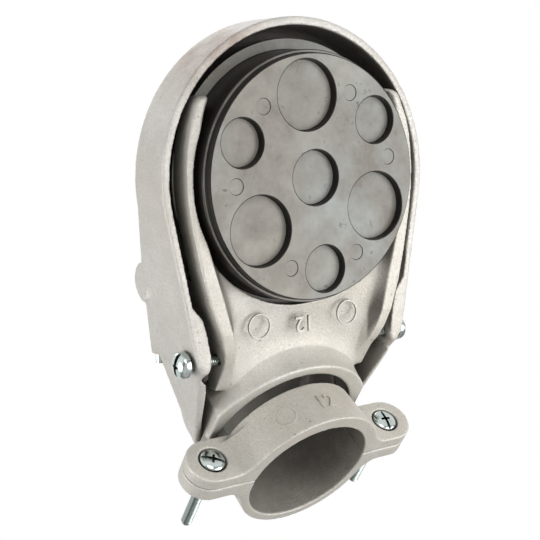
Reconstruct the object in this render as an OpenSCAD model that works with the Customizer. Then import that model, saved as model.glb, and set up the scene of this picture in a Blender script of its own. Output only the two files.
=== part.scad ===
// Clamp-on service entrance head for 2-1/2 inch conduit.
// Z runs up the conduit, the wire face looks forward (-Y) and down.
// The origin is the middle of the collar's bottom end.

/* [Collar and strap] */
// Radius of the bore that grips the conduit
bore_r = 36.6; // [36.55:0.01:36.65]
// Height of the clamping collar
collar_h = 28.2; // [27:0.2:30]
// Outer radius of the back half of the collar
collar_r = 41.6; // [41:0.1:42]
// Outer radius of the strap at its bottom end
strap_r = 44.4; // [43.5:0.1:45]
// Where the two halves of the collar meet, front to back
parting_y = -4.5; // [-6:0.1:-3]
// Distance of each clamp screw from the middle
lug_x = 58.3; // [57.5:0.1:59]
// Height of each clamp screw above the bottom end
lug_z = 14.2; // [13.5:0.1:15]
// Radius of the rounded end of each ear
lug_r = 13.9; // [13:0.1:14.2]
// Thickness of each ear of the strap
strap_ear_t = 7.4; // [7:0.1:8.5]
// Thickness of each ear of the body
body_ear_t = 8.6; // [8:0.1:9.5]

/* [Wire face] */
// Tilt of the wire face from upright
face_tilt = 53.5; // [52:0.5:55]
// Distance of the middle of the wire face in front of the conduit
face_y = 140.5; // [139:0.5:142]
// Height of the middle of the wire face
face_z = 85.5; // [84:0.5:87]
// Radius of the front of the knockout insert
insert_r = 64.5; // [63.5:0.1:65]
// Radius of the insert's flange
flange_r = 73; // [72:0.2:73.4]
// Turn of the loose insert in its seat
insert_turn = 5.4; // [-8:0.2:8]
// Depth of the knockout recesses
knockout_d = 4.3; // [3:0.1:4.6]

/* [Body] */
// Depth of the body's floor behind the wire face
floor_d = 14.6; // [14.4:0.1:15]
// Depth of the cradle walls' front edge behind the wire face
cradle_d = 8; // [7:0.2:9]
// Radius of the opening in the floor
opening_r = 69; // [68.6:0.1:69.2]
// Radius of the arc that the front of the neck follows
neck_r = 59; // [58.8:0.1:59.4]
// Radius of the wire way inside the neck
lip_r = 44.5; // [44:0.1:45]
// Height of the neck's front lip
lip_z = 31.9; // [31:0.1:33]

/* [Hood] */
// Radius of the hood's arched top
hood_r = 83.7; // [83:0.1:84.5]
// Depth of the hood's rim behind the wire face
rim_d = 13.5; // [13:0.1:14]
// Depth of the hood's flat roof behind the wire face
roof_d = 46; // [45:0.2:47]
// Thickness of the hood's wall
hood_t = 4.4; // [4:0.1:4.8]
// Height of the hood's bottom edge
hood_z = 37.5; // [37:0.1:38.5]

/* [Screws] */
// Radius of the clamp screws and hood screws
screw_r = 3.15; // [3.1:0.01:3.16]
// Radius of the screw heads
head_r = 7.1; // [6.8:0.1:7.2]
// Length of a clamp screw under its head
clamp_screw_l = 52.5; // [48:0.5:55]

/* [Hidden] */
$fa = 4;
$fs = 0.6;
gap = 0.3;
hood_half_low = 67.6;
floor_t = 4.6;
seat_d = 23.4;
neck_w = 49.4;
ear_z = 2 * lug_r - 0.3;
strap_front = parting_y - gap / 2 - strap_ear_t;
seat_y = strap_front + 2.6;
hs_y = -52;
hs_z = 48.4;

// Frame of the wire face: x across, y up the slope, z out of the face.
module face()
    translate([0, -face_y, face_z])
        rotate([90 + face_tilt, 0, 0])
            children();

// A profile drawn as (y, z), extruded across the part.
module across(w)
    translate([-w / 2, 0, 0])
        rotate([90, 0, 90])
            linear_extrude(w)
                children();

// A prism along the face's own axis, from depth d1 to depth d2.
module slab(d1, d2)
    translate([0, 0, -d2])
        linear_extrude(d2 - d1)
            children();

module mirrored() {
    children();
    mirror([1, 0, 0])
        children();
}

// ---- collar, strap and ears ----

// Front view of an ear: a bar with a round end, from the collar outwards.
module ear_2d() {
    translate([lug_x + 1.5, lug_r])
        circle(r = lug_r - 0.15);
    translate([30, 0.15])
        square([lug_x + 1.5 - 30, ear_z]);
}

module ear(y1, y2)
    translate([0, y2, 0])
        rotate([90, 0, 0])
            linear_extrude(y2 - y1)
                ear_2d();

module lug_bore(r, y1, y2)
    translate([lug_x, y2, lug_z])
        rotate([90, 0, 0])
            cylinder(r = r, h = y2 - y1);

module front_half()
    translate([-100, -100, -1])
        cube([200, 100 + parting_y - gap / 2, 60]);

module back_half(z1)
    translate([-100, parting_y + gap / 2, z1])
        cube([200, 100, 120]);

module clamp_strap()
    color("silver")
        difference() {
            intersection() {
                union() {
                    cylinder(r1 = strap_r, r2 = strap_r - 2.2, h = collar_h);
                    mirrored()
                        ear(strap_front, 0);
                    // sloping web from each ear up to the barrel
                    mirrored()
                        translate([0, 0, 0.15])
                            linear_extrude(ear_z - 4)
                                polygon([[20, 0], [20, -34], [30, -29.3], [40, -19],
                                    [46, -13.4], [50, strap_front], [50, 0]]);
                }
                front_half();
            }
            translate([0, 0, -1])
                cylinder(r = bore_r, h = collar_h + 2);
            mirrored()
                lug_bore(screw_r + 0.4, strap_front - 1, 1);
            mirrored()
                lug_bore(head_r + 1, strap_front - 5, seat_y);
        }

// ---- body ----

// Outline of the body on the wire face's plane, drawn in by t.
module body_2d(t) {
    polygon([[-61 + t, 46], [-65.3 + t, 40], [-68.6 + t, 30], [-70.8 + t, 20], [-71.9 + t, 10],
        [-72.1 + t, 0], [-71.7 + t, -10], [-70.2 + t, -22], [-66.2 + t, -43], [-61.6 + t, -62],
        [-58.8 + t, -70], [-56 + t, -78], [-52.6 + t, -89], [-49.8 + t, -99], [-49.5 + t, -112],
        [49.5 - t, -112], [49.8 - t, -99], [52.6 - t, -89], [56 - t, -78], [58.8 - t, -70],
        [61.6 - t, -62], [66.2 - t, -43], [70.2 - t, -22], [71.7 - t, -10], [72.1 - t, 0],
        [71.9 - t, 10], [70.8 - t, 20], [68.6 - t, 30], [65.3 - t, 40], [61 - t, 46]]);
}

// Inner edge of the cradle walls above the bend of the floor, drawn in by t.
module cradle_top_2d(t)
    polygon([[-55.5 + t, 48], [-60 + t, 40], [-63 + t, 30], [-65.6 + t, 20], [-67.3 + t, 8],
        [-67.3 + t, 0], [-66.6 + t, -12], [-64.8 + t, -21], [-61.6 + t, -32], [-58 + t, -45],
        [-53 + t, -63], [53 - t, -63], [58 - t, -45], [61.6 - t, -32], [64.8 - t, -21],
        [66.6 - t, -12], [67.3 - t, 0], [67.3 - t, 8], [65.6 - t, 20], [63 - t, 30],
        [60 - t, 40], [55.5 - t, 48]]);

// Room between the cradle walls; their feet are drawn in as a wide fillet.
module cradle_room() {
    face()
        hull() {
            slab(cradle_d - 3, cradle_d + 0.1)
                cradle_top_2d(0);
            slab(floor_d - 2, floor_d - 1.9)
                cradle_top_2d(2.2);
            slab(floor_d - 0.1, floor_d)
                cradle_top_2d(5);
        }
    hull() {
        face() {
            translate([-53.2, -62.4, -cradle_d - 0.4])
                cube([106.4, 0.1, 4.4]);
            translate([-51, -62.4, 0.1 - floor_d + 2])
                cube([102, 0.1, 1]);
            translate([-48, -62.4, 0.05 - floor_d])
                cube([96, 0.1, 1]);
            translate([-42.5, -101, -18])
                cube([85, 0.1, 12]);
        }
        translate([-28, -50, 47.5 - 4])
            cube([56, 0.1, 4]);
        translate([-40, -38, 38.8])
            cube([80, 0.1, 4]);
    }
}

// Plan of the neck: a wide arc in front, flat sides behind it.
module neck_2d()
    intersection() {
        translate([0, 8.45])
            circle(r = neck_r, $fn = 144);
        translate([-neck_w, -60])
            square([2 * neck_w, 61]);
    }

module body_shell() {
    difference() {
        face() {
            // floor plate round the opening
            slab(floor_d - 1.2, floor_d + floor_t)
                intersection() {
                    body_2d(0.4);
                    translate([-80, -66])
                        square([160, 108]);
                }
            // walls, and the seat round the opening for the insert's flange
            slab(cradle_d, seat_d)
                difference() {
                    body_2d(0);
                    translate([-60, -120])
                        square([120, 64]);
                    circle(r = 63);
                    translate([-55.5, 0])
                        square([111, 50]);
                }
            slab(cradle_d, 36)
                intersection() {
                    body_2d(0);
                    translate([-80, -116])
                        square([160, 66]);
                }
        }
        cradle_room();
        face() {
            // opening for the insert, and room for its flange behind the seat
            slab(0, 60)
                circle(r = opening_r);
            slab(seat_d + 0.1, 41)
                circle(r = flange_r + 0.8);
            // front edge of the walls falls away level towards the neck
            across(160)
                polygon([[-78, 1], [-78, -cradle_d], [-84, -9.6], [-89, -11.4], [-94, -14.4],
                    [-98.6, -18.4], [-121.5, -35.6], [-140, 1]]);
            // upper ends of the walls
            across(160)
                polygon([[70, 1], [70, -60], [52, -60], [45, -30], [44.5, -12], [42.5, -7], [42.5, 1]]);
        }
        // hollow behind the sloping floor
        across(96)
            polygon([[-88, 70.9], [-50.5, 55.9 - 2], [-30, 55.9 - 2], [-30, 90], [-88, 130]]);
    }
}

module neck()
    intersection() {
        translate([0, 0, lip_z])
            linear_extrude(60)
                neck_2d();
        across(160)
            polygon([[-60, 0], [0.8, 0], [0.8, 35.5], [-20, 55], [-48, 55], [-60, 55]]);
    }

// Foot of each neck side, spreading onto the ear.
module neck_foot()
    translate([0, parting_y + gap / 2 + body_ear_t, 0])
        rotate([90, 0, 0])
            linear_extrude(body_ear_t)
                polygon([[40, 20], [40, 40], [neck_w - 0.2, 40], [50.6, 36.6], [53, 33.4],
                    [56.4, 30.6], [60, ear_z + 0.1], [60, 20]]);

module body()
    color("gainsboro")
        difference() {
            union() {
                difference() {
                    union() {
                        intersection() {
                            body_shell();
                            translate([-100, -200, 40])
                                cube([200, 203, 200]);
                        }
                        neck();
                    }
                    // way for the wires, open under the lip
                    translate([0, 0, 20])
                        intersection() {
                            cylinder(r = lip_r, h = 80);
                            translate([-60, -60, 0])
                                cube([120, 60 + parting_y + gap / 2, 80]);
                        }
                }
                // back half of the collar, running up inside the hood
                intersection() {
                    union() {
                        cylinder(r = collar_r, h = 46);
                        mirrored()
                            ear(parting_y, parting_y + gap / 2 + body_ear_t);
                        mirrored()
                            neck_foot();
                        // web between each ear and the barrel
                        mirrored()
                            translate([0, 0, 0.15])
                                linear_extrude(ear_z - 4)
                                    polygon([[30, 0], [30, 28], [37, 18.5], [42.5, 9], [47, 5],
                                        [50, 4.1], [50, 0]]);
                    }
                    back_half(0);
                }
            }
            // the bore for the conduit
            translate([0, 0, -1])
                cylinder(r = bore_r, h = 60);
            // clearance for the hood's bottom edge behind and beside the neck
            mirrored()
                translate([41.9, -2.4, 37.2])
                    cube([20, 22.9, 20]);
            mirrored()
                translate([49.3, -12, 37.2])
                    cube([5, 20, 20]);
            // threaded bores for the clamp screws and the hood screws
            mirrored()
                lug_bore(screw_r + 0.05, -20, 20);
            mirrored()
                translate([47, hs_y, hs_z])
                    rotate([0, 90, 0])
                        cylinder(r = screw_r + 0.05, h = 20);
        }

// ---- knockout insert ----

module ring_of(r, a0)
    for (k = [0 : 2])
        rotate([0, 0, a0 + 120 * k])
            translate([r, 0, 0])
                children();

module knockout_insert()
    color("dimgray")
        face()
            rotate([0, 0, insert_turn])
                difference() {
                    union() {
                        slab(0, 6)
                            circle(r = insert_r);
                        translate([0, 0, -seat_d - 2])
                            cylinder(r1 = 66.9, r2 = 66.3, h = seat_d + 2 - 4.5);
                        slab(seat_d + gap, seat_d + gap + 2.6)
                            circle(r = flange_r);
                    }
                    slab(6.2, 40)
                        circle(r = 63.4);
                    // recessed knockouts
                    ring_of(43.1, 90)
                        slab(-1, knockout_d)
                            circle(r = 18.4);
                    ring_of(48.9, 30)
                        slab(-1, knockout_d)
                            circle(r = 12.6);
                    slab(-1, knockout_d)
                        circle(r = 14.5);
                    // shallow round marks between them
                    for (a = [-34, 34])
                        ring_of(49.2, 90 + a)
                            slab(-1, 0.35)
                                circle(r = 4.2);
                }

// ---- hood ----

// Arched top with a flat roof; t shrinks it.
module hood_top(t, front)
    intersection() {
        union() {
            translate([0, 0, -roof_d + t + 3])
                cylinder(r = hood_r - t, h = roof_d - t - 3 - front);
            translate([0, 0, -roof_d + t])
                cylinder(r1 = hood_r - t - 3, r2 = hood_r - t, h = 3);
        }
        translate([-100, -10.8, -80])
            cube([200, 120, 80]);
    }

// The part below it: the sides draw in and the roof falls away.
module hood_mid(t, front)
    hull() {
        across_slice(-7.6, hood_r - 0.4 - t, roof_d - 1 - t, front);
        across_slice(-15, hood_r - 1.4 - t, roof_d + 1 - t, front);
        across_slice(-44, 76.2 - t, 58 - t, front);
        across_slice(-88, 68.2 - t, 67 - t, front);
        across_slice(-94.5, 67.7 - t, 67.6 - t, front);
    }

// Thin slice across the hood at height v, its roof edges bevelled.
module across_slice(v, w, d, front)
    translate([0, v, 0])
        rotate([-90, 0, 0])
            linear_extrude(0.6)
                polygon([[-w, front], [w, front], [w, d - 3], [w - 3, d], [3 - w, d], [-w, d - 3]]);

// The lowest part, drawn in from the sides and the back to a level edge.
module hood_low(t, front, z)
    hull() {
        face()
            translate([-67.6 + t, -93, -57.5 + t])
                cube([2 * (67.6 - t), 1, 57.5 - t - front]);
        translate([0, 0, z])
            linear_extrude(1)
                polygon([[-61 + t * 0.7, -47.6 + t * 0.2], [-56.6 + t * 0.7, -20], [-52.6 + t * 0.6, 5.6 - t],
                    [52.6 - t * 0.6, 5.6 - t], [56.6 - t * 0.7, -20], [61 - t * 0.7, -47.6 + t * 0.2]]);
    }

// Round cover over the back of the neck, under the same sloping back.
module neck_cover(r, t, z)
    intersection() {
        union() {
            translate([0, 0, z])
                cylinder(r = r, h = 80);
            translate([-r, -40, z])
                cube([2 * r, 40, 80]);
        }
        across(160)
            polygon([[-48, 0], [60, 0], [60, 48.3 - t], [-26.6, 84 - t], [-48, 90 - t]]);
    }

module hood()
    color("gainsboro")
        difference() {
            union() {
                difference() {
                    union() {
                        face() {
                            hood_top(0, rim_d);
                            hood_mid(0, rim_d);
                        }
                        hood_low(0, rim_d, hood_z);
                        neck_cover(46.4, 0, hood_z);
                    }
                    face() {
                        hood_top(hood_t, rim_d - 5);
                        hood_mid(hood_t, rim_d - 5);
                    }
                    hood_low(hood_t, rim_d - 12, hood_z - 1.5);
                    face()
                        translate([-63.2, -104, -50])
                            cube([126.4, 31, 50]);
                    neck_cover(42.6, 4, hood_z - 1);
                }
                // thicker seat inside each wall for the side screw
                face()
                    mirrored()
                        slab(rim_d, 31)
                            polygon([[71, -60], [68.7, -63], [63.4, -69.5], [61.4, -77], [59.6, -88],
                                [59, -94], [60.5, -98.6], [65.8, -98.6], [66, -88], [70, -70]]);
                // cast pad on the roof's left edge, with the barrel of the pin
                face()
                    translate([-75.4, 0, 0])
                        rotate([90, 0, 90])
                            linear_extrude(9)
                                polygon([[-43, -52], [-43, -61], [-46.5, -64.4], [-51, -66.4],
                                    [-55, -66], [-59.5, -63.9], [-64, -59], [-62, -52]]);
            }
            // open below the level edge
            translate([-100, -100, hood_z - 60])
                cube([200, 200, 60]);
            mirrored()
                translate([40, hs_y, hs_z])
                    rotate([0, 90, 0])
                        cylinder(r = screw_r + 0.3, h = 40);
            // flat spot under each screw head
            mirrored()
                translate([hood_half_low + 0.2, hs_y, hs_z])
                    rotate([0, 90, 0])
                        cylinder(r = head_r + 0.8, h = 10);
            face()
                translate([-63.6, -84, -62.6])
                    rotate([90, 0, 0])
                        cylinder(r = 2.45, h = 30);
        }

// ---- pin and screws ----

module edge_pin()
    color("lightsteelblue")
        face()
            translate([-63.6, -84.4, -62.6])
                rotate([90, 0, 0])
                    cylinder(r = 2.4, h = 15.5);

// Domed head of height h with a cross and slot recess, shank towards -z.
module screw(length, h) {
    difference() {
        intersection() {
            cylinder(r = head_r, h = h);
            translate([0, 0, h + 0.2 - 11.4])
                sphere(r = 11.4, $fn = 48);
        }
        translate([-0.75, -head_r - 1, h - 1.4])
            cube([1.5, 2 * head_r + 2, 3]);
        translate([-3.4, -0.75, h - 2.1])
            cube([6.8, 1.5, 4]);
        translate([-0.75, -3.4, h - 2.1])
            cube([1.5, 6.8, 4]);
    }
    translate([0, 0, -length + 0.8])
        cylinder(r = screw_r, h = length - 0.7);
    translate([0, 0, -length])
        cylinder(r1 = screw_r - 0.8, r2 = screw_r, h = 0.8);
}

module clamp_screw_left()
    color("lightsteelblue")
        translate([-lug_x, seat_y - gap, lug_z])
            rotate([90, 0, 0])
                rotate([0, 0, 38])
                    screw(clamp_screw_l, 3.6);

module clamp_screw_right()
    color("lightsteelblue")
        translate([lug_x, seat_y - gap, lug_z])
            rotate([90, 0, 0])
                rotate([0, 0, -52])
                    screw(clamp_screw_l, 3.6);

module hood_screw_left()
    color("lightsteelblue")
        translate([-hood_half_low - 2.6, hs_y, hs_z])
            rotate([0, -90, 0])
                rotate([0, 0, 20])
                    screw(20, 6.4);

module hood_screw_right()
    color("lightsteelblue")
        translate([hood_half_low + 1, hs_y, hs_z])
            rotate([0, 90, 0])
                rotate([0, 0, -35])
                    screw(20, 6.4);

body();
clamp_strap();
knockout_insert();
hood();
edge_pin();
clamp_screw_left();
clamp_screw_right();
hood_screw_left();
hood_screw_right();
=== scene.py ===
# %% [markdown]
# # A clamp-on service entrance head
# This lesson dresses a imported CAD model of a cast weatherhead: the fitting that
# brings overhead wires down into a vertical conduit. The CAD model already has every
# size and every joint. Here it gets rounded casting edges, soft corner fillets, real
# screws with threads, and materials that look like die-cast aluminium, moulded black
# plastic and bright zinc.

# %% Load the frame
import math
import bpy
import bmesh
import numpy as np
from mathutils import Matrix, Vector


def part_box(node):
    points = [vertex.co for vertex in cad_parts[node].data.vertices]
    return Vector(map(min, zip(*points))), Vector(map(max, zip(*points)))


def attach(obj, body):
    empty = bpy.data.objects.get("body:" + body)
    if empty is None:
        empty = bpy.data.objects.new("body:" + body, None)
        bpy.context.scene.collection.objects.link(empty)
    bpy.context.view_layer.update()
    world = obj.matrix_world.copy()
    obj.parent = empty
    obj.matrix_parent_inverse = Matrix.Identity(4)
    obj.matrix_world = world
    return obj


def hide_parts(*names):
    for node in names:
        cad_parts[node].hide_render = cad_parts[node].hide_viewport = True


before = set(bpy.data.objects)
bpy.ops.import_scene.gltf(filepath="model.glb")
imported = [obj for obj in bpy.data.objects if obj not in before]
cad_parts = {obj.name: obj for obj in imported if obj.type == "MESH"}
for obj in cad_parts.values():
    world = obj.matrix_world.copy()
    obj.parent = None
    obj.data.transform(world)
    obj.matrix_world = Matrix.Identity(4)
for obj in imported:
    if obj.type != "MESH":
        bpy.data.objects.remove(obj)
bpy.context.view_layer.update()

# %% [markdown]
# ## The camera
# The camera looks up at the wire face from the front, the left and well below, and it
# is rolled. Three direction vectors say that exactly: where the lens points, what is up
# in the picture, and their cross product. A matrix made of them needs no angles.

# %% Camera
LENS_MM = 79.8
CAMERA_AT = Vector((-0.3665, -0.4818, -0.2927))
LOOK = Vector((0.5455, 0.6138, 0.5707)).normalized()
PICTURE_UP = Vector((0.1131, -0.7286, 0.6755)).normalized()

scene = bpy.context.scene
camera = bpy.data.objects.new("camera", bpy.data.cameras.new("camera"))
scene.collection.objects.link(camera)
picture_right = LOOK.cross(PICTURE_UP).normalized()
picture_up = picture_right.cross(LOOK)
turn = Matrix((picture_right, picture_up, -LOOK)).transposed()
camera.matrix_world = Matrix.Translation(CAMERA_AT) @ turn.to_4x4()
camera.data.lens = LENS_MM
camera.data.sensor_width = 36
camera.data.clip_start = 0.01
scene.camera = camera
scene.view_settings.view_transform = "Standard"
print("camera at", tuple(CAMERA_AT), "lens", LENS_MM, "mm")

# %% [markdown]
# ## The room
# The wire face looks forward and down, so the key light has to come from there. One big
# soft lamp stands where the glossy face mirrors it into the lens: black plastic shows
# almost nothing but reflections, so that lamp, together with a painted grey reflection on
# the insert's front flats, turns the face a smoky grey. A lamp on the left shows the hood's
# side, a weaker one in front opens up the strap and the neck, and one above shows the
# roof. The world is white to the camera and in reflections, and dimmer as a light, so that
# it doesn't flatten the shapes. The floor lies well below the part. The camera alone sees
# it a little brighter than the lamps make it, so that it stays pale in views from above
# and adds no light to the part.

# %% World and floor
FACE_CENTRE = Vector((0, -0.1405, 0.0855))
FLOOR_Z = -0.45
FLOOR_HALF = 6.0
FLOOR_LIFT = 0.42
WORLD_LIGHT = 0.21

world = bpy.data.worlds.new("white_room")
scene.world = world
world.use_nodes = True
tree = world.node_tree
tree.nodes.clear()
out = tree.nodes.new("ShaderNodeOutputWorld")
paths = tree.nodes.new("ShaderNodeLightPath")
shown = tree.nodes.new("ShaderNodeBackground")
shown.inputs["Color"].default_value = (1, 1, 1, 1)
shown.inputs["Strength"].default_value = 1.0
light = tree.nodes.new("ShaderNodeBackground")
light.inputs["Color"].default_value = (1, 1, 1, 1)
light.inputs["Strength"].default_value = WORLD_LIGHT
seen = tree.nodes.new("ShaderNodeMath")
seen.operation = "ADD"
seen_too = tree.nodes.new("ShaderNodeMath")
seen_too.operation = "ADD"
seen_too.use_clamp = True
mix = tree.nodes.new("ShaderNodeMixShader")
tree.links.new(paths.outputs["Is Camera Ray"], seen.inputs[0])
tree.links.new(paths.outputs["Is Glossy Ray"], seen.inputs[1])
tree.links.new(seen.outputs[0], seen_too.inputs[0])
tree.links.new(paths.outputs["Is Transmission Ray"], seen_too.inputs[1])
tree.links.new(seen_too.outputs[0], mix.inputs["Fac"])
tree.links.new(light.outputs[0], mix.inputs[1])
tree.links.new(shown.outputs[0], mix.inputs[2])
tree.links.new(mix.outputs[0], out.inputs["Surface"])

bm = bmesh.new()
bmesh.ops.create_grid(bm, x_segments=1, y_segments=1, size=FLOOR_HALF)
bmesh.ops.translate(bm, verts=bm.verts, vec=(0, 0, FLOOR_Z))
floor_mesh = bpy.data.meshes.new("floor")
bm.to_mesh(floor_mesh)
bm.free()
floor = bpy.data.objects.new("floor", floor_mesh)
scene.collection.objects.link(floor)
pale = bpy.data.materials.new("pale_floor")
pale.use_nodes = True
surface = pale.node_tree.nodes["Principled BSDF"]
surface.inputs["Base Color"].default_value = (0.86, 0.86, 0.85, 1)
surface.inputs["Roughness"].default_value = 0.9
lift = pale.node_tree.nodes.new("ShaderNodeMix")
lift.data_type = "RGBA"
lift.inputs[6].default_value = (0, 0, 0, 1)
lift.inputs[7].default_value = (FLOOR_LIFT, FLOOR_LIFT, FLOOR_LIFT, 1)
floor_paths = pale.node_tree.nodes.new("ShaderNodeLightPath")
pale.node_tree.links.new(floor_paths.outputs["Is Camera Ray"], lift.inputs["Factor"])
pale.node_tree.links.new(lift.outputs[2], surface.inputs["Emission Color"])
surface.inputs["Emission Strength"].default_value = 1.0
floor_mesh.materials.append(pale)
print("floor at z =", FLOOR_Z)

# %% Lamps
def soft_lamp(name, at, aim, size, watts):
    lamp = bpy.data.objects.new(name, bpy.data.lights.new(name, "AREA"))
    lamp.data.shape = "SQUARE"
    lamp.data.size = size
    lamp.data.energy = watts
    lamp.location = at
    lamp.rotation_mode = "QUATERNION"
    lamp.rotation_quaternion = (aim - at).to_track_quat("-Z", "Y")
    lamp.visible_camera = False
    scene.collection.objects.link(lamp)
    print(name, "at", tuple(round(v, 2) for v in at), watts, "W")
    return lamp


MIRROR_WAY = Vector((0.5455, -0.3668, -0.7543))
KEY_DISTANCE = 0.5
soft_lamp("key_lamp", FACE_CENTRE + KEY_DISTANCE * MIRROR_WAY, FACE_CENTRE, 0.46, 2.7)
soft_lamp("left_lamp", Vector((-0.95, 0.14, 0.08)), Vector((0, -0.06, 0.08)), 0.5, 5.6)
soft_lamp("front_lamp", Vector((-0.15, -1.0, -0.15)), Vector((0, -0.03, 0.03)), 0.4, 2.7)
soft_lamp("top_lamp", Vector((0.15, 0.1, 1.15)), Vector((0, -0.05, 0.08)), 0.9, 5.0)

# %% [markdown]
# ## Materials
# Every finish is a small node tree on object coordinates, which are metres here. A noise
# of scale 900 therefore has features about a millimetre wide. Small helpers add the
# nodes that every finish needs: a noise, a map from a noise to a range, a colour mix,
# a sum or product, and a measure that the mesh itself carries as an attribute.

# %% Node helpers
def start_material(name):
    material = bpy.data.materials.new(name)
    material.use_nodes = True
    nodes = material.node_tree.nodes
    where = nodes.new("ShaderNodeTexCoord")
    return material, nodes, material.node_tree.links, nodes["Principled BSDF"], where


def noise(nodes, links, where, scale, detail=3.0, roughness=0.55):
    node = nodes.new("ShaderNodeTexNoise")
    node.inputs["Scale"].default_value = scale
    node.inputs["Detail"].default_value = detail
    node.inputs["Roughness"].default_value = roughness
    links.new(where.outputs["Object"], node.inputs["Vector"])
    return node.outputs["Fac"]


def spread(nodes, links, value, low, high, to_low, to_high):
    node = nodes.new("ShaderNodeMapRange")
    node.inputs["From Min"].default_value = low
    node.inputs["From Max"].default_value = high
    node.inputs["To Min"].default_value = to_low
    node.inputs["To Max"].default_value = to_high
    links.new(value, node.inputs["Value"])
    return node.outputs["Result"]


def blend_colours(nodes, links, share, first, second):
    node = nodes.new("ShaderNodeMix")
    node.data_type = "RGBA"
    links.new(share, node.inputs["Factor"])
    for socket, colour in ((node.inputs[6], first), (node.inputs[7], second)):
        if isinstance(colour, tuple):
            socket.default_value = (*colour, 1)
        else:
            links.new(colour, socket)
    return node.outputs[2]


def combine(nodes, links, how, first, second):
    node = nodes.new("ShaderNodeMath")
    node.operation = how
    links.new(first, node.inputs[0])
    if isinstance(second, (int, float)):
        node.inputs[1].default_value = second
    else:
        links.new(second, node.inputs[1])
    return node.outputs[0]


def measured(nodes, name):
    node = nodes.new("ShaderNodeAttribute")
    node.attribute_name = name
    return node.outputs["Fac"]


def bump(nodes, links, height, strength, distance, under=None):
    node = nodes.new("ShaderNodeBump")
    node.inputs["Strength"].default_value = strength
    node.inputs["Distance"].default_value = distance
    links.new(height, node.inputs["Height"])
    if under is not None:
        links.new(under, node.inputs["Normal"])
    return node.outputs["Normal"]


# %% [markdown]
# ### Die-cast aluminium
# The casting was tumbled after it left the die. Its flats keep a fine sandy grain and
# cloudy tones, and its edges are rubbed almost white. Its inner corners get dirt and
# painted shade, and ambient occlusion paints more shade into nooks and into the deep
# inside. The casting pieces further down carry four measures of their own shape as
# attributes. Edge and hollow follow the real corners, one marks the inside of the bore,
# which gets painted shade, and shade marks the inner walls of the cradle and of the hood,
# which get painted shade too. One more stain, near the crown of the hood, is a soft ball
# round a point.

# %% Cast aluminium
def shelter(nodes, reach):
    node = nodes.new("ShaderNodeAmbientOcclusion")
    node.samples = 8
    node.inputs["Distance"].default_value = reach
    return node.outputs["AO"]


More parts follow.
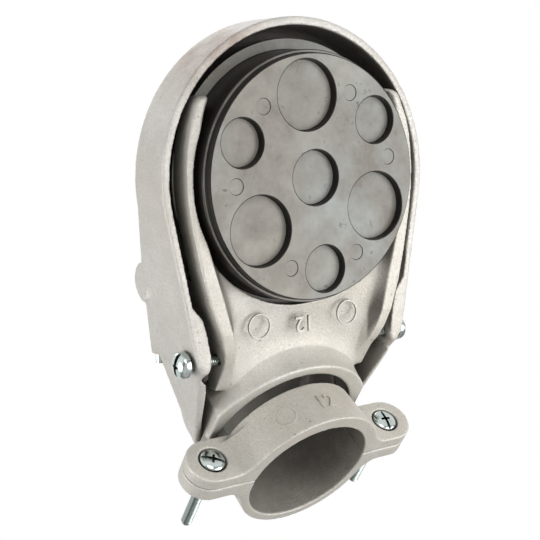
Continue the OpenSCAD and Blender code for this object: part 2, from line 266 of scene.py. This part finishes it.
def cast_aluminium(name, tone, warm, inner_shade, metal=0.25, stain_at=None):
    material, nodes, links, shader, where = start_material(name)
    edge = measured(nodes, "edge")
    hollow = measured(nodes, "hollow")
    bore_shade = measured(nodes, "bore_shade")
    shade = measured(nodes, "shade")
    clouds = spread(nodes, links, noise(nodes, links, where, 60, 5, 0.65), 0.32, 0.68, 0, 1)
    specks = spread(nodes, links, noise(nodes, links, where, 850, 2, 0.7), 0.3, 0.7, 0, 1)
    base = blend_colours(nodes, links, clouds, tuple(0.8 * c for c in tone), tone)
    dots = spread(nodes, links, specks, 0, 1, 0.0, 0.7)
    base = blend_colours(nodes, links, dots, base, tuple(0.7 * c for c in tone))
    stain = spread(nodes, links, noise(nodes, links, where, 14, 4), 0.48, 0.7, 0, 0.4)
    base = blend_colours(nodes, links, stain, base, warm)
    if stain_at:
        gap = nodes.new("ShaderNodeVectorMath")
        gap.operation = "DISTANCE"
        gap.inputs[1].default_value = stain_at
        links.new(where.outputs["Object"], gap.inputs[0])
        near = spread(nodes, links, gap.outputs["Value"], 0.01, 0.042, 0.9, 0)
        patchy = spread(nodes, links, clouds, 0, 1, 1, 0.4)
        near = combine(nodes, links, "MULTIPLY", near, patchy)
        base = blend_colours(nodes, links, near, base, (0.24, 0.165, 0.125))
    rub = spread(nodes, links, specks, 0, 1, 0.55, 0.2)
    wear = combine(nodes, links, "MULTIPLY", edge, rub)
    base = blend_colours(nodes, links, wear, base, (0.84, 0.83, 0.8))
    # Painted shade: the inside of the bore is darkened.
    patchy = spread(nodes, links, clouds, 0, 1, 0.8, 0.6)
    bore_shade_share = combine(nodes, links, "MULTIPLY", bore_shade, patchy)
    base = blend_colours(nodes, links, bore_shade_share, base, (0.15, 0.138, 0.118))
    # Painted shade: the inner walls of the cradle and the inner side and roof of the hood are
    # darkened.
    patchy = spread(nodes, links, clouds, 0, 1, 0.95, 0.84)
    painted_wall_shade = combine(nodes, links, "MULTIPLY", shade, patchy)
    base = blend_colours(nodes, links, painted_wall_shade, base, (0.085, 0.074, 0.062))
    # Dirt and painted shade: inner corners, found by their bend, are darkened.
    crease_patchiness = spread(nodes, links, clouds, 0, 1, 0.4, 0.2)
    crease_dirt_and_shade = combine(nodes, links, "MULTIPLY", hollow, crease_patchiness)
    base = blend_colours(nodes, links, crease_dirt_and_shade, base, tuple(0.5 * c for c in warm))
    # Painted shade: ambient occlusion with a short reach darkens nooks and corners.
    corner = spread(nodes, links, shelter(nodes, 0.016), 0.15, 0.58, 0.6, 0)
    base = blend_colours(nodes, links, corner, base, tuple(0.42 * c for c in warm))
    # Painted shade: ambient occlusion with a long reach darkens the deep inside of each casting.
    inside = spread(nodes, links, shelter(nodes, 0.11), 0.05, 0.42, inner_shade, 0)
    base = blend_colours(nodes, links, inside, base, tuple(0.12 * c for c in warm))
    pits = spread(nodes, links, noise(nodes, links, where, 420, 1, 0.4), 0.74, 0.78, 0, 1)
    faint_pits = combine(nodes, links, "MULTIPLY", pits, 0.55)
    base = blend_colours(nodes, links, faint_pits, base, tuple(0.3 * c for c in warm))
    links.new(base, shader.inputs["Base Color"])
    shader.inputs["Metallic"].default_value = metal
    links.new(spread(nodes, links, specks, 0, 1, 0.4, 0.55), shader.inputs["Roughness"])
    fine = bump(nodes, links, specks, 0.6, 0.00025)
    rolling = bump(nodes, links, noise(nodes, links, where, 130, 3), 0.25, 0.0006, fine)
    holes = bump(nodes, links, spread(nodes, links, pits, 0, 1, 1, 0), 0.4, 0.0004, rolling)
    links.new(holes, shader.inputs["Normal"])
    return material


body_finish = cast_aluminium("body_casting_finish", (0.63, 0.603, 0.55),
                             (0.45, 0.4, 0.32), 0.98)
hood_finish = cast_aluminium("hood_casting_finish", (0.62, 0.6, 0.56),
                             (0.45, 0.4, 0.34), 0.62, stain_at=(-0.047, -0.183, 0.148))
strap_finish = cast_aluminium("strap_casting_finish", (0.63, 0.6, 0.54),
                              (0.44, 0.39, 0.32), 0.95)

# %% [markdown]
# ### Black plastic
# The insert is moulded in black. The flats that face forward get a cloudy grey colour, a
# painted reflection of the bright room, and the attribute front marks those flats. The side
# walls of the recesses stay black, which draws a dark crescent round each knockout.

# %% Black plastic
def black_plastic(name):
    material, nodes, links, shader, where = start_material(name)
    front = measured(nodes, "front")
    # Painted reflection: a cloudy grey sheen on the forward-facing flats that front marks.
    sheen_blotches = spread(nodes, links, noise(nodes, links, where, 26, 5, 0.6), 0.38, 0.6, 0, 1)
    smears = spread(nodes, links, noise(nodes, links, where, 75, 4, 0.6), 0.36, 0.66, 0, 1)
    cool = spread(nodes, links, noise(nodes, links, where, 9, 2, 0.5), 0.4, 0.6, 0, 1)
    cloud = combine(nodes, links, "MULTIPLY", combine(nodes, links, "ADD", sheen_blotches, smears), 0.5)
    pale = blend_colours(nodes, links, cool, (0.3, 0.28, 0.242), (0.275, 0.29, 0.275))
    painted_face_sheen = blend_colours(nodes, links, cloud, (0.155, 0.138, 0.117), pale)
    greasy = spread(nodes, links, noise(nodes, links, where, 150, 4, 0.7), 0.62, 0.7, 0, 0.7)
    painted_face_sheen = blend_colours(nodes, links, greasy, painted_face_sheen, (0.07, 0.062, 0.055))
    tone = blend_colours(nodes, links, front, (0.016, 0.014, 0.012), painted_face_sheen)
    # Painted shade: ambient occlusion darkens the recesses.
    painted_pocket_shade = spread(nodes, links, shelter(nodes, 0.012), 0.05, 0.35, 0.5, 0)
    tone = blend_colours(nodes, links, painted_pocket_shade, tone, (0.008, 0.007, 0.006))
    links.new(tone, shader.inputs["Base Color"])
    links.new(spread(nodes, links, cloud, 0, 1, 0.26, 0.36), shader.inputs["Roughness"])
    shader.inputs["IOR"].default_value = 1.32
    texture = noise(nodes, links, where, 700, 2, 0.5)
    links.new(bump(nodes, links, texture, 0.05, 0.0001), shader.inputs["Normal"])
    return material


insert_finish = black_plastic("insert_plastic_finish")

# %% [markdown]
# ### Bright zinc
# The screws and the pin are steel with a thin, slightly blue-green coat of zinc. Painted
# shade darkens the driver recess and other tight corners, and the attribute shank dulls
# the threaded part.

# %% Zinc
def bright_zinc(name):
    material, nodes, links, shader, where = start_material(name)
    cloud = spread(nodes, links, noise(nodes, links, where, 260, 3), 0.3, 0.7, 0, 1)
    base = blend_colours(nodes, links, cloud, (0.46, 0.52, 0.5), (0.6, 0.66, 0.64))
    # Painted shade: ambient occlusion darkens the driver recess and other tight corners.
    deep = spread(nodes, links, shelter(nodes, 0.004), 0.25, 0.8, 0.92, 0)
    base = blend_colours(nodes, links, deep, base, (0.03, 0.032, 0.03))
    shank = measured(nodes, "shank")
    dulled = combine(nodes, links, "MULTIPLY", shank, 0.8)
    base = blend_colours(nodes, links, dulled, base, (0.26, 0.3, 0.285))
    links.new(base, shader.inputs["Base Color"])
    shader.inputs["Metallic"].default_value = 1.0
    links.new(spread(nodes, links, cloud, 0, 1, 0.24, 0.14), shader.inputs["Roughness"])
    grain = noise(nodes, links, where, 1500, 2)
    links.new(bump(nodes, links, grain, 0.1, 0.0001), shader.inputs["Normal"])
    return material


zinc_finish = bright_zinc("zinc_steel_finish")
finishes = (body_finish, hood_finish, strap_finish, insert_finish, zinc_finish)
print("finishes:", [material.name for material in finishes])

# %% [markdown]
# ## The castings
# A casting has no sharp edge anywhere: metal flows, dies have radii, and tumbling rounds
# the rest. Bevelling hundreds of CAD edges by hand would miss the places where they
# meet. A voxel remesh turns a copy of the CAD solid into an even skin of millimetre
# squares instead, and two kinds of smoothing shape that skin. The first only fills inner
# corners, as a fillet does, and the second rounds everything a little. A reach in metres
# says how far each smoothing spreads. A last step thins the skin, because flat walls
# need far fewer triangles than rounded edges.

# %% Casting helpers
BORE_R = 0.0366
BEND_REACH = 0.0008
FLAT_BEND, FULL_BEND = 45, 215
MOST_TRIANGLES = 190000
FACE_TURN = math.radians(36.5)
FACE_WAY = Vector((0, -math.sin(FACE_TURN), -math.cos(FACE_TURN)))
UP_SLOPE = Vector((0, -math.cos(FACE_TURN), math.sin(FACE_TURN)))


def fade(values, low, high):
    return np.clip((values - low) / (high - low), 0, 1)


def welded_copy(node):
    bm = bmesh.new()
    bm.from_mesh(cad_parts[node].data)
    bmesh.ops.remove_doubles(bm, verts=bm.verts, dist=1e-6)
    return bm


def placed(name, mesh, material, body, slot, *nodes):
    mesh.name = name
    piece = bpy.data.objects.new(name, mesh)
    scene.collection.objects.link(piece)
    mesh.materials.clear()
    mesh.materials.append(material)
    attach(piece, body)
    if nodes:
        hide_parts(*nodes)
    return piece


def finished(name, bm, material, body, slot, *nodes):
    mesh = bpy.data.meshes.new(name)
    bm.to_mesh(mesh)
    bm.free()
    return placed(name, mesh, material, body, slot, *nodes)


def voxel_skin(bm, cell):
    mesh = bpy.data.meshes.new("skin")
    bm.to_mesh(mesh)
    bm.free()
    helper = bpy.data.objects.new("skin", mesh)
    scene.collection.objects.link(helper)
    remesh = helper.modifiers.new("remesh", "REMESH")
    remesh.mode = "VOXEL"
    remesh.voxel_size = cell
    graph = bpy.context.evaluated_depsgraph_get()
    skin = bpy.data.meshes.new_from_object(helper.evaluated_get(graph))
    bpy.data.objects.remove(helper)
    bpy.data.meshes.remove(mesh)
    return skin


def read_skin(skin):
    points = np.zeros(len(skin.vertices) * 3)
    skin.vertices.foreach_get("co", points)
    edges = np.zeros(len(skin.edges) * 2, np.int64)
    skin.edges.foreach_get("vertices", edges)
    return points.reshape(-1, 3), edges.reshape(-1, 2)


def facing(skin, points):
    skin.vertices.foreach_set("co", points.ravel())
    skin.update()
    normals = np.zeros(len(points) * 3)
    skin.vertex_normals.foreach_get("vector", normals)
    return normals.reshape(-1, 3)


def pull(values, edges, count):
    total = np.zeros_like(values)
    for axis in range(values.shape[1]):
        total[:, axis] = np.bincount(edges[:, 0], values[edges[:, 1], axis], len(values))
        total[:, axis] += np.bincount(edges[:, 1], values[edges[:, 0], axis], len(values))
    return total / count[:, None]


def everywhere(points):
    return np.ones(len(points))


def soften(skin, points, edges, rounds, where, fill_only):
    share = where(points)
    near = share > 0.01
    inner = near[edges].all(axis=1)
    links = (np.cumsum(near) - 1)[edges[inner]]
    part = points[near]
    tied = np.bincount(links.ravel(), minlength=len(part))
    count = np.maximum(tied, 1)
    share = (share[near] * (tied > 0))[:, None]
    for step in range(rounds):
        move = pull(part, links, count) - part
        if fill_only:
            if step % 10 == 0:
                points[near] = part
                normals = facing(skin, points)[near]
            out = np.clip(np.einsum("ij,ij->i", move, normals), 0, None)
            move = out[:, None] * normals
        part += 0.5 * share * move
    points[near] = part


# Mask of the painted shade inside the bore.
def bore_shade_mask(points):
    x, y, z = points.T
    return fade(-np.hypot(x, y), -BORE_R - 0.0004, -BORE_R - 0.0001) * fade(z, 0.0004, 0.0014)


# Mask of the painted shade on the inner walls of the cradle and on the hood's inner side and roof.
def wall_shade(points, normals):
    x, z = points[:, 0], points[:, 2]
    depth = (np.array(FACE_CENTRE) - points) @ np.array(FACE_WAY)
    inward = fade(-np.sign(x) * normals[:, 0], 0.25, 0.8)
    place = fade(abs(x), 0.036, 0.042) * fade(-abs(x), -0.0725, -0.0715)
    place *= fade(z, 0.04, 0.045) * fade(depth, 0.0062, 0.009) * fade(-depth, -0.0165, -0.015)
    walls = inward * place
    slope = (points - np.array(FACE_CENTRE)) @ np.array(UP_SLOPE)
    reach = np.maximum(np.hypot(x, slope), 0.001)
    outward = (x * normals[:, 0] + slope * (normals @ np.array(UP_SLOPE))) / reach
    side = fade(-outward, 0.1, 0.5) * fade(depth, 0.0145, 0.0165) * fade(reach, 0.0745, 0.0755)
    roof = fade(normals @ np.array(FACE_WAY), 0.3, 0.7) * fade(depth, 0.025, 0.028)
    hood = np.maximum(side, roof) * fade(slope, 0.0, 0.02) * fade(-reach, -0.0825, -0.0815)
    return np.maximum(walls, hood)


def rounds_for(cell, reach):
    return round((2 * reach / cell) ** 2)


def cast_rounding(skin, cell, fillet, radius, extra):
    points, edges = read_skin(skin)
    soften(skin, points, edges, rounds_for(cell, fillet), everywhere, True)
    for reach, where, fill_only in extra:
        soften(skin, points, edges, rounds_for(cell, reach), where, fill_only)
    soften(skin, points, edges, rounds_for(cell, radius), everywhere, False)
    normals = facing(skin, points)
    count = np.maximum(np.bincount(edges.ravel(), minlength=len(points)), 1)
    bend = np.einsum("ij,ij->i", pull(points, edges, count) - points, normals)[:, None]
    for step in range(rounds_for(cell, BEND_REACH)):
        bend = 0.5 * bend + 0.5 * pull(bend, edges, count)
    bend = bend[:, 0] / cell ** 2
    # Edge and hollow follow the bend; the last two are masks of painted shade.
    measures = {"edge": fade(-bend, FLAT_BEND, FULL_BEND),
                "hollow": fade(bend, FLAT_BEND, FULL_BEND),
                "bore_shade": bore_shade_mask(points),
                "shade": wall_shade(points, normals)}
    for name, value in measures.items():
        measure = skin.attributes.new(name, "FLOAT", "POINT")
        measure.data.foreach_set("value", value.astype(np.float32))
    skin.shade_smooth()
    return skin


def thinned(skin, keep):
    helper = bpy.data.objects.new("skin", skin)
    scene.collection.objects.link(helper)
    helper.modifiers.new("thin", "DECIMATE").ratio = keep
    graph = bpy.context.evaluated_depsgraph_get()
    thin = bpy.data.meshes.new_from_object(helper.evaluated_get(graph))
    bpy.data.objects.remove(helper)
    bpy.data.meshes.remove(skin)
    return thin


def casting(name, node, cell, fillet, radius, material, body, slot,
            tilt=0.0, extra=()):
    bm = welded_copy(node)
    lean = Matrix.Rotation(tilt, 3, "X")
    bmesh.ops.rotate(bm, verts=bm.verts, cent=(0, 0, 0), matrix=lean)
    skin = voxel_skin(bm, cell)
    skin.transform(lean.inverted().to_4x4())
    skin = cast_rounding(skin, cell, fillet, radius, extra)
    fine = len(skin.polygons)
    skin = thinned(skin, min(1.0, MOST_TRIANGLES / (2 * fine)))
    piece = placed(name, skin, material, body, slot, node)
    skin.calc_loop_triangles()
    print(name, fine, "squares thinned to", len(skin.loop_triangles), "triangles")
    return piece


# %% [markdown]
# ### Body, strap and hood
# Each casting is remeshed with the size of square that its walls need. The body takes
# wider fillets where the cradle walls stand on the sloping floor, and rounder upper wall
# ends. The hood is turned by the lean of its wire face while it is remeshed, so that the
# squares line up with its rim and the rim stays straight. A function of position says
# where each extra smoothing acts.

# %% Body, strap and hood
def wall_feet(points):
    x, y, z = points.T
    band = fade(y, -0.1, -0.086) * fade(-y, 0.02, 0.03) * fade(-z, -0.068, -0.062)
    return band * fade(z, 0.033, 0.037)


def wall_tops(points):
    x, y, z = points.T
    return fade(-y, 0.158, 0.166) * fade(z, 0.1, 0.106) * fade(abs(x), 0.05, 0.056)


def seat_ends(points):
    x, y, z = points.T
    across = fade(abs(x), 0.05, 0.055)
    return across * fade(y, -0.07, -0.062) * fade(-y, 0.024, 0.032) * fade(-z, -0.056, -0.05)


def rim_ends(points):
    x, y, z = points.T
    gap = np.hypot(np.hypot(abs(x) - 0.063, y + 0.0495), z - 0.0395)
    return fade(-gap, -0.011, -0.006)


FACE_LEAN = math.radians(53.5)
casting("cast_body", "body", 0.0006, 0.0034, 0.0006, body_finish, "head", "body_casting",
        extra=[(0.0090, wall_feet, True), (0.0020, wall_tops, False)])
casting("cast_strap", "clamp_strap", 0.0005, 0.0013, 0.0005, strap_finish, "strap",
        "strap_casting")
casting("cast_hood", "hood", 0.00072, 0.0026, 0.0009, hood_finish, "head", "hood_casting",
        tilt=FACE_LEAN, extra=[(0.0060, seat_ends, True), (0.0060, rim_ends, True),
                               (0.0018, rim_ends, False)])

# %% [markdown]
# ## Casting marks
# Dies leave marks: a plain mould number, and the round rings of the ejector pins that
# push the casting out. A number is a text curve with a little depth, turned into a mesh
# before it is placed. A ring is a small profile spun round. Both sit a hair into the
# metal. On the curved strap every point is wrapped round the conduit's axis.

# %% Marks
MARK_RISE, MARK_SOFT = 0.0006, 0.00012
STRAP_SLOPE = 0.0022 / 0.0282


def number_mesh(text, height):
    curve = bpy.data.curves.new("number", "FONT")
    curve.body = text
    curve.size = height
    curve.align_x = "CENTER"
    curve.align_y = "CENTER"
    curve.extrude = MARK_RISE
    curve.bevel_depth = MARK_SOFT
    curve.bevel_resolution = 1
    helper = bpy.data.objects.new("number", curve)
    scene.collection.objects.link(helper)
    graph = bpy.context.evaluated_depsgraph_get()
    mesh = bpy.data.meshes.new_from_object(helper.evaluated_get(graph))
    bpy.data.objects.remove(helper)
    bm = bmesh.new()
    bm.from_mesh(mesh)
    bpy.data.meshes.remove(mesh)
    bmesh.ops.remove_doubles(bm, verts=bm.verts, dist=1e-6)
    bmesh.ops.recalc_face_normals(bm, faces=bm.faces)
    return bm


def ring_mesh(radius, width):
    bm = bmesh.new()
    low, top, soft = -MARK_RISE, MARK_RISE, MARK_SOFT
    outer = radius + width
    profile = [(radius, low), (radius, top - soft), (radius + soft, top),
               (outer - soft, top), (outer, top - soft), (outer, low)]
    verts = [bm.verts.new((r, 0, z)) for r, z in profile]
    edges = [bm.edges.new(pair) for pair in zip(verts, verts[1:] + verts[:1])]
    bmesh.ops.spin(bm, geom=verts + edges, cent=(0, 0, 0), axis=(0, 0, 1), angle=math.tau,
                   steps=40, use_merge=True)
    bmesh.ops.remove_doubles(bm, verts=bm.verts, dist=1e-6)
    bmesh.ops.recalc_face_normals(bm, faces=bm.faces)
    return bm


def on_floor(bm, x, up, turned):
    across = Vector((1, 0, 0))
    flip = -1 if turned else 1
    frame_of_floor = Matrix((flip * across, flip * UP_SLOPE, FACE_WAY)).transposed().to_4x4()
    at = FACE_CENTRE + x * across + up * UP_SLOPE - FLOOR_DEPTH * FACE_WAY
    bm.transform(Matrix.Translation(at) @ frame_of_floor)
    return bm


def on_strap(bm, angle, height):
    for v in bm.verts:
        level = height + v.co.y
        radius = STRAP_R - STRAP_SLOPE * level + v.co.z
        turn = math.radians(angle) + v.co.x / STRAP_R
        v.co = (radius * math.sin(turn), -radius * math.cos(turn), level)
    return bm


FLOOR_DEPTH, STRAP_R = 0.0146, 0.0444
ON_FLOOR = (body_finish, "head", "body_casting")
ON_STRAP = (strap_finish, "strap", "strap_casting")
for name, bm, home in (
        ("floor_number", on_floor(number_mesh("12", 0.0125), 0.0, -0.0795, True), ON_FLOOR),
        ("floor_ring_left", on_floor(ring_mesh(0.0062, 0.0008), -0.029, -0.0775, False), ON_FLOOR),
        ("floor_ring_right", on_floor(ring_mesh(0.0062, 0.0008), 0.029, -0.0775, False), ON_FLOOR),
        ("strap_number", on_strap(number_mesh("12", 0.0125), 3, 0.0137), ON_STRAP),
        ("strap_ring", on_strap(ring_mesh(0.0058, 0.0011), -30, 0.0141), ON_STRAP)):
    mark = finished(name, bm, *home)
    print(name, len(mark.data.polygons), "faces")

# %% [markdown]
# ## The knockout insert
# The insert is a moulded cup with a flange behind its seat and seven round knockouts
# sunk into its face. Its outline is crisp, so it is not remeshed. A copy of the CAD
# solid has its coplanar triangles dissolved, and then every real edge gets a small
# bevel, because it is the rounded edge that draws a thin light or dark line round each
# knockout. The shallow marks are bevelled apart from the deep rims, since one bevel of
# all of them would be held to the least room that any edge has.

# %% Insert
DEEP = 0.002


def depth(vert):
    return (FACE_CENTRE - vert.co).dot(FACE_WAY)


def is_sharp(edge):
    return edge.is_manifold and edge.calc_face_angle(0) > math.radians(35)


def round_edges(bm, edges, width, segments):
    bmesh.ops.bevel(bm, geom=edges, offset=width, offset_type="OFFSET", segments=segments,
                    profile=0.5, affect="EDGES", material=-1, clamp_overlap=True)


def reach_of(edge):
    return max(depth(v) for face in edge.link_faces for v in face.verts)


cup = welded_copy("knockout_insert")
bmesh.ops.dissolve_limit(cup, angle_limit=math.radians(1), verts=cup.verts, edges=cup.edges)
sharp = [e for e in cup.edges if is_sharp(e)]
deep_rims = [e for e in sharp if max(depth(v) for v in e.verts) < 1e-5 and reach_of(e) > DEEP]
round_edges(cup, deep_rims, 0.0006, 3)
sharp = [e for e in cup.edges if is_sharp(e)]
round_edges(cup, [e for e in sharp if max(depth(v) for v in e.verts) < 0.001], 0.00015, 1)
sharp = [e for e in cup.edges if is_sharp(e)]
round_edges(cup, [e for e in sharp if min(depth(v) for v in e.verts) > DEEP], 0.0004, 2)
for face in cup.faces:
    face.smooth = True
insert_piece = finished("knockout_cup", cup, insert_finish, "head", "insert_plastic",
                        "knockout_insert")
cup_mesh = insert_piece.data
cup_mesh.set_sharp_from_angle(angle=math.radians(14))
# Forward-facing flats of the insert, which get the painted grey reflection.
front = cup_mesh.attributes.new("front", "FLOAT", "CORNER")
painted_sheen = [face for face in cup_mesh.polygons if face.normal.dot(FACE_WAY) > 0.99]
for face in painted_sheen:
    for corner in face.loop_indices:
        front.data[corner].value = 1.0
print("insert:", len(cup_mesh.polygons), "faces,", len(painted_sheen), "of them hazed")

# %% [markdown]
# ## The screws
# A combination screw takes a flat blade or a cross-head driver. Its head is a dome spun
# from a short profile, with the slot and the two cross wings cut by booleans. Its
# thread is one pitch of rounded tooth spun round the axis while it climbs, so that each
# turn meets the next. The open ends of the thread are drawn in to a plain ring and
# closed with a flat face.

# %% Screw parts
PITCH = 0.00127
TURN_STEPS = 24
HEAD_R, THREAD_R, THREAD_DEPTH = 0.0071, 0.00315, 0.0004


def spun(profile, steps=48):
    bm = bmesh.new()
    verts = [bm.verts.new((r, 0, z)) for r, z in profile]
    edges = [bm.edges.new(pair) for pair in zip(verts, verts[1:])]
    bmesh.ops.spin(bm, geom=verts + edges, cent=(0, 0, 0), axis=(0, 0, 1), angle=math.tau,
                   steps=steps, use_merge=True)
    bmesh.ops.remove_doubles(bm, verts=bm.verts, dist=1e-6)
    bmesh.ops.recalc_face_normals(bm, faces=bm.faces)
    return bm


def open_rim(bm, middle, side):
    return [e for e in bm.edges if e.is_boundary and (e.verts[0].co.z - middle) * side > 0]


def thread(top, tip, outer):
    root = outer - THREAD_DEPTH
    tooth = [(root, 0), (root, 0.08), (outer, 0.36), (outer, 0.64), (root, 0.92), (root, 1)]
    turns = round((top - tip - 0.0008) / PITCH) - 1
    bm = bmesh.new()
    verts = [bm.verts.new((r, 0, z * PITCH)) for r, z in tooth]
    edges = [bm.edges.new(pair) for pair in zip(verts, verts[1:])]
    bmesh.ops.spin(bm, geom=verts + edges, cent=(0, 0, 0), axis=(0, 0, 1),
                   angle=math.tau * turns, steps=TURN_STEPS * turns,
                   dvec=(0, 0, PITCH / TURN_STEPS), use_merge=False)
    bmesh.ops.remove_doubles(bm, verts=bm.verts, dist=2e-6)
    bmesh.ops.translate(bm, verts=bm.verts, vec=(0, 0, tip + 0.0006))
    middle = (top + tip) / 2
    for side, level, radius in ((-1, tip, root - 0.0003), (1, top, root)):
        rim = open_rim(bm, middle, side)
        grown = bmesh.ops.extrude_edge_only(bm, edges=rim)["geom"]
        ring = [v for v in grown if isinstance(v, bmesh.types.BMVert)]
        for v in ring:
            angle = math.atan2(v.co.y, v.co.x)
            v.co = (radius * math.cos(angle), radius * math.sin(angle), level)
        bmesh.ops.remove_doubles(bm, verts=ring, dist=1e-5)
        bmesh.ops.contextual_create(bm, geom=open_rim(bm, middle, side))
    bmesh.ops.recalc_face_normals(bm, faces=bm.faces)
    return bm


def block(size, at):
    bm = bmesh.new()
    bmesh.ops.create_cube(bm, size=1)
    bmesh.ops.scale(bm, verts=bm.verts, vec=size)
    bmesh.ops.translate(bm, verts=bm.verts, vec=at)
    return bm


def as_object(bm, name):
    mesh = bpy.data.meshes.new(name)
    bm.to_mesh(mesh)
    bm.free()
    thing = bpy.data.objects.new(name, mesh)
    scene.collection.objects.link(thing)
    return thing


def cut(bm, cutters):
    whole = as_object(bm, "whole")
    tools = [as_object(c, "tool") for c in cutters]
    for tool in tools:
        step = whole.modifiers.new("cut", "BOOLEAN")
        step.operation = "DIFFERENCE"
        step.solver = "EXACT"
        step.object = tool
    graph = bpy.context.evaluated_depsgraph_get()
    result = bpy.data.meshes.new_from_object(whole.evaluated_get(graph))
    done = bmesh.new()
    done.from_mesh(result)
    for thing in [whole, *tools]:
        bpy.data.objects.remove(thing)
    bpy.data.meshes.remove(result)
    return done


def screw_head(radius, height, slot_width):
    rim = height * 0.42
    dome = [(radius * math.sin(a), rim + (height - rim) * math.cos(a))
            for a in (0, 0.2, 0.4, 0.6, 0.8, 1.0, 1.2, 1.4)]
    profile = [(0, dome[0][1])] + dome[1:]
    profile += [(radius, rim - 0.0004), (radius, 0.0003), (radius - 0.0003, 0), (0, 0)]
    slot = block((slot_width, 0.03, 0.004), (0, 0, 0.55 * height + 0.002))
    cutters = [slot]
    for turn in (0, math.pi / 2):
        wing = block((0.0082, 0.0019, 0.0054), (0, 0, height + 0.0001))
        low = [v for v in wing.verts if v.co.z < height]
        bmesh.ops.scale(wing, verts=low, vec=(0.45, 0.6, 1))
        quarter = Matrix.Rotation(turn, 3, "Z")
        bmesh.ops.rotate(wing, verts=wing.verts, cent=(0, 0, 0), matrix=quarter)
        cutters.append(wing)
    return cut(spun(profile), cutters)


def join(bm, other):
    mesh = bpy.data.meshes.new("part")
    other.to_mesh(mesh)
    other.free()
    bm.from_mesh(mesh)
    bpy.data.meshes.remove(mesh)
    return bm


def screw(node, slot_turn, length, head_height, slot_width, inward, out_of, body):
    low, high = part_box(node)
    centre = (low + high) / 2
    bm = screw_head(HEAD_R, head_height, slot_width)
    join(bm, thread(0.0006, -length, THREAD_R))
    shank = bm.verts.layers.float.new("shank")
    for v in bm.verts:
        v[shank] = 1.0 if v.co.z < -0.0001 else 0.0
    turned = Matrix.Rotation(math.radians(slot_turn), 3, "Z")
    bmesh.ops.rotate(bm, verts=bm.verts, cent=(0, 0, 0), matrix=turned)
    side_axis = "X" if abs(out_of.x) < 0.5 else "Y"
    bm.transform(out_of.to_track_quat("Z", side_axis).to_matrix().to_4x4())
    base = Vector(centre)
    axis = [abs(c) for c in out_of].index(1.0)
    base[axis] = inward
    bmesh.ops.translate(bm, verts=bm.verts, vec=base)
    for face in bm.faces:
        face.smooth = True
    piece = finished("combo_" + node, bm, zinc_finish, body, "zinc_steel", node)
    piece.data.set_sharp_from_angle(angle=math.radians(38))
    print(piece.name, len(piece.data.polygons), "faces")
    return piece


# %% [markdown]
# ### Placing the screws
# Each size is the shank's length, the head's height and the slot's width. The CAD boxes
# say where each head seats. The two clamp screws turn as the strap slides,
# so each rides on a body of its own. The hood screws ride with the head. The pin in the
# hood's edge is a plain rod, so its CAD piece stays and only takes the zinc finish.

# %% Place the screws
CLAMP_HEAD, HOOD_HEAD = 0.0036, 0.0064
CLAMP_SIZE = (0.0525, CLAMP_HEAD, 0.0017)
HOOD_SIZE = (0.020, HOOD_HEAD, 0.0024)
FORWARD, LEFT, RIGHT = Vector((0, -1, 0)), Vector((-1, 0, 0)), Vector((1, 0, 0))
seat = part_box("clamp_screw_left")[0].y + CLAMP_HEAD
screw("clamp_screw_left", -30, *CLAMP_SIZE, seat, FORWARD, "left_screw")
screw("clamp_screw_right", 84, *CLAMP_SIZE, seat, FORWARD, "right_screw")
left_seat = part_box("hood_screw_left")[0].x + HOOD_HEAD
right_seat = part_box("hood_screw_right")[1].x - HOOD_HEAD
screw("hood_screw_left", -66, *HOOD_SIZE, left_seat, LEFT, "head")
screw("hood_screw_right", -35, *HOOD_SIZE, right_seat, RIGHT, "head")
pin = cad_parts["edge_pin"]
pin.data.materials.clear()
pin.data.materials.append(zinc_finish)
